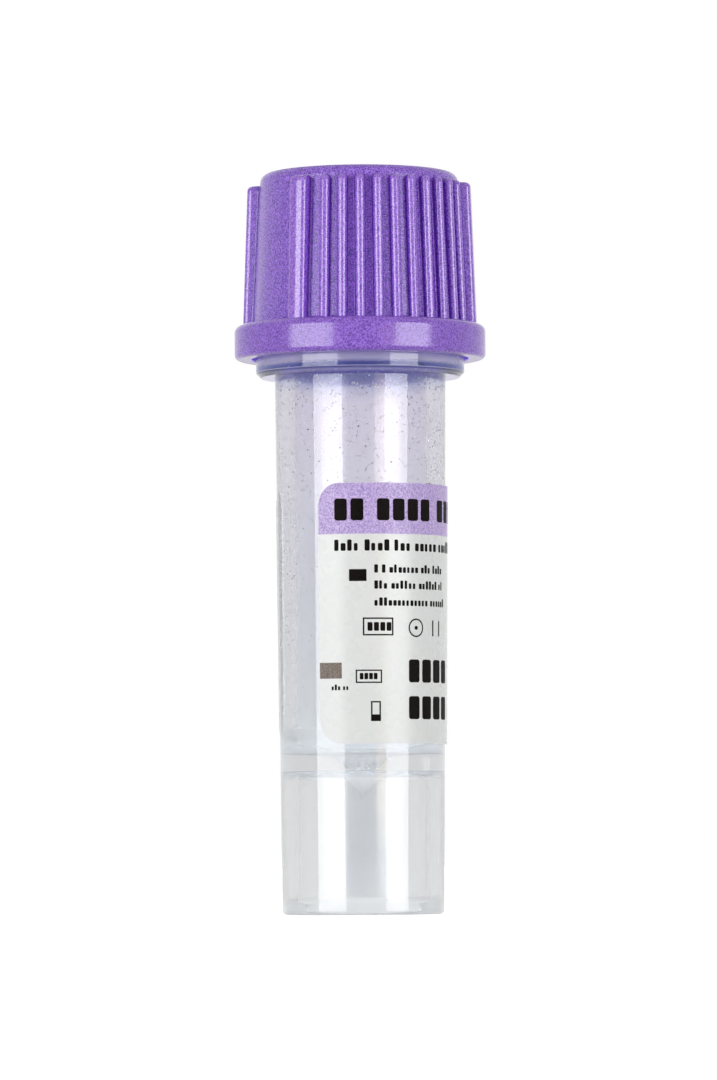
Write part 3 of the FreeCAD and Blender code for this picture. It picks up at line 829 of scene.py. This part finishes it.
def make_print():
    """Plain blocks, boxes and a ring in place of the label's words and signs.

    Numbers run in the order start, level, height for a line, start, end, low, high for a field."""
    lines = [
        *text_line(1.04, 23.62, 1.32, (2, 4, 6), bold=True),
        *text_line(1.02, 21.80, 0.68, (4, 4, 3, 5, 6)),
        *text_line(3.40, 20.48, 0.50, (1, 1, 7, 3, 4)),
        *text_line(3.40, 19.52, 0.50, (3, 6, 6, 2)),
        *text_line(3.40, 18.50, 0.50, (13, 6)),
        *text_line(5.60, 13.92, 1.38, (4,), bold=True),
        *text_line(5.60, 11.72, 1.38, (4,), bold=True),
        *text_line(0.78, 13.46, 0.34, (3, 2)),
    ]
    signs = [
        ink(1.90, 2.94, 19.98, 20.70, 0.04),
        *box_lines(2.70, 4.56, 16.72, 17.80, 0.09),
        *text_line(2.98, 17.00, 0.52, (4,), bold=True),
        ring_line(6.14, 17.20, 0.56, 0.09),
        ink(6.02, 6.26, 17.08, 17.32, 0.11),
        ink(7.55, 7.68, 16.72, 17.68, 0.05),
        ink(8.25, 8.38, 16.72, 17.68, 0.05),
        *box_lines(2.26, 3.84, 13.88, 14.68, 0.08),
        *text_line(2.50, 14.10, 0.38, (4,), bold=True),
        *box_lines(3.16, 3.76, 11.60, 12.80, 0.09),
        ink(3.16, 3.76, 11.60, 12.00),
    ]
    black = printed("black_ink", BLACK_INK, 0.1, 0.45, Specular_IOR_Level=0.06)
    words = piece("label_print", black, *lines, *signs)
    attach(words, "tube")


def make_fill_mark():
    """The block at the label's edge that shows how high to fill the tube."""
    mark = piece("fill_mark", printed("brown_ink", BROWN_INK, 0.09), ink(0.02, 1.42, 14.16, 15.11))
    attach(mark, "tube")


def make_droplets():
    """Dried additive, sprayed on the inside of the bore: denser towards the mouth."""
    rng = np.random.default_rng(11)
    count = 3300
    lowest, rise = BORE_FLOOR + 0.8, BORE_TOP - BORE_FLOOR - 1.2
    level = lowest + rise * rng.beta(1.5, 0.8, count)
    radius = 0.029 + 0.046 * rng.beta(1.1, 4.5, count)
    angle = rng.uniform(0, 2 * math.pi, count)
    height = radius * rng.uniform(0.6, 1.0, count)
    spray = domes(angle, level, radius, height, np.full(count, BORE_WALL))
    # the droplets' near-black tone is painted shade for refraction
    crust = piece("dried_droplets", dried_additive(0.01), spray, sharp=180.0)
    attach(crust, "tube")


def make_beads():
    """Larger white beads: a loose ring of them under the collar, and a few in the well."""
    rng = np.random.default_rng(5)
    ring, few = 110, 34
    ring_level = rng.normal(COLLAR_LOW - 0.62, 0.16, ring)
    well_level = rng.uniform(8.3, 9.5, few)
    well_wall = WELL_RADIUS - (WELL_OVER - well_level) / WELL_FALL
    level = np.concatenate([ring_level, well_level])
    wall = np.concatenate([np.full(ring, BORE_WALL), well_wall])
    radius = rng.uniform(0.045, 0.09, ring + few)
    angle = rng.uniform(0, 2 * math.pi, ring + few)
    beads = domes(angle, level, radius, radius, wall)
    made = piece("dried_beads", dried_additive(1.0), beads, sharp=180.0)
    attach(made, "tube")


def make_table():
    """A pale table under the tube. It shows white, and keeps a soft shadow.

    Low and straight ahead, it is darker and bluer through plastic."""
    bpy.ops.mesh.primitive_plane_add(size=4.0, location=(0, 0, -0.02 * MM))
    table = bpy.context.object
    table.name = "table"
    made, tree, shader = new_material("pale_table", Roughness=0.9)
    tree.links.new(grained(tree, noise(tree, 60.0), PALE_TABLE), shader.inputs["Base Color"])
    ahead = straight_ahead(tree, "Object")
    through = spread(tree, ahead, 0.42, 0.18, 0, 1)
    glow = by_ray(tree, camera=0.82, mirrored=0.82, through=through, other=0.0)
    tree.links.new(tinted_ahead(tree, ahead, FAR_TABLE), shader.inputs["Emission Color"])
    tree.links.new(glow, shader.inputs["Emission Strength"])
    table.data.materials.append(made)
    table.visible_glossy = False


def make_world():
    """A plain room: white where it is looked at or mirrored, pale grey through plastic, and a soft
    fill for the rest.

    Low and straight ahead, it is darker and a little bluer through plastic."""
    world = bpy.data.worlds.new("studio")
    bpy.context.scene.world = world
    world.use_nodes = True
    tree = world.node_tree
    background = tree.nodes["Background"]
    ahead = straight_ahead(tree, "Generated")
    through = spread(tree, ahead, 0.73, 0.465, 0, 1)
    glow = by_ray(tree, camera=1.0, mirrored=1.0, through=through, other=0.3)
    tree.links.new(tinted_ahead(tree, ahead, FAR_ROOM), background.inputs["Color"])
    tree.links.new(glow, background.inputs["Strength"])


def soft_box(name, azimuth, height, width, tall, distance, radiance, rays=RAYS, tint=WHITE):
    """A soft box that faces the middle of the tube. Azimuth 0 is the front, positive to the right.

    Only the kinds of ray that are named meet it. Without glossy ones no surface mirrors it, without
    transmission ones no plastic lets it through, without diffuse ones it lights no dull surface."""
    lamp = bpy.data.lights.new(name, "AREA")
    lamp.shape = "RECTANGLE"
    lamp.size, lamp.size_y = width, tall
    lamp.energy = radiance * math.pi * width * tall
    lamp.color = tint
    box = bpy.data.objects.new(name, lamp)
    turn = math.radians(azimuth)
    box.location = (distance * math.sin(turn), -distance * math.cos(turn), height)
    aim = Vector((0, 0, 0.024)) - box.location
    box.rotation_euler = aim.to_track_quat("-Z", "Y").to_euler()
    for kind in RAYS:
        setattr(box, f"visible_{kind}", kind in rays)
    bpy.context.scene.collection.objects.link(box)


def make_camera():
    """A long lens just above the table, tipped up to the middle of the tube."""
    lens = bpy.data.cameras.new("camera")
    lens.lens, lens.sensor_width = 201.4, 36.0
    camera = bpy.data.objects.new("camera", lens)
    camera.location = (-0.00017, -0.3665, 0.0044)
    aim = Vector((-0.00017, 0, 0.0227)) - camera.location
    roll = Quaternion((0, 0, 1), math.radians(-0.37))
    camera.rotation_euler = (aim.to_track_quat("-Z", "Y") @ roll).to_euler()
    bpy.context.scene.collection.objects.link(camera)
    bpy.context.scene.camera = camera


make_tube()
make_cap()
make_label()
make_band()
make_print()
make_fill_mark()
make_droplets()
make_beads()
make_table()
make_world()
soft_box("left_box", azimuth=-45.5, height=0.03, width=0.34, tall=0.20, distance=0.45,
         radiance=5.6)
soft_box("right_box", azimuth=49.5, height=0.03, width=0.27, tall=0.20, distance=0.45,
         radiance=6.0)
soft_box("warm_edge", azimuth=26.5, height=0.033, width=0.12, tall=0.066, distance=0.45,
         radiance=2.3, rays=("glossy",), tint=WARM)
soft_box("back_fill", azimuth=180, height=0.22, width=0.5, tall=0.4, distance=0.6,
         radiance=2.0, rays=("diffuse",))
make_camera()
bpy.context.scene.view_settings.view_transform = "Standard"
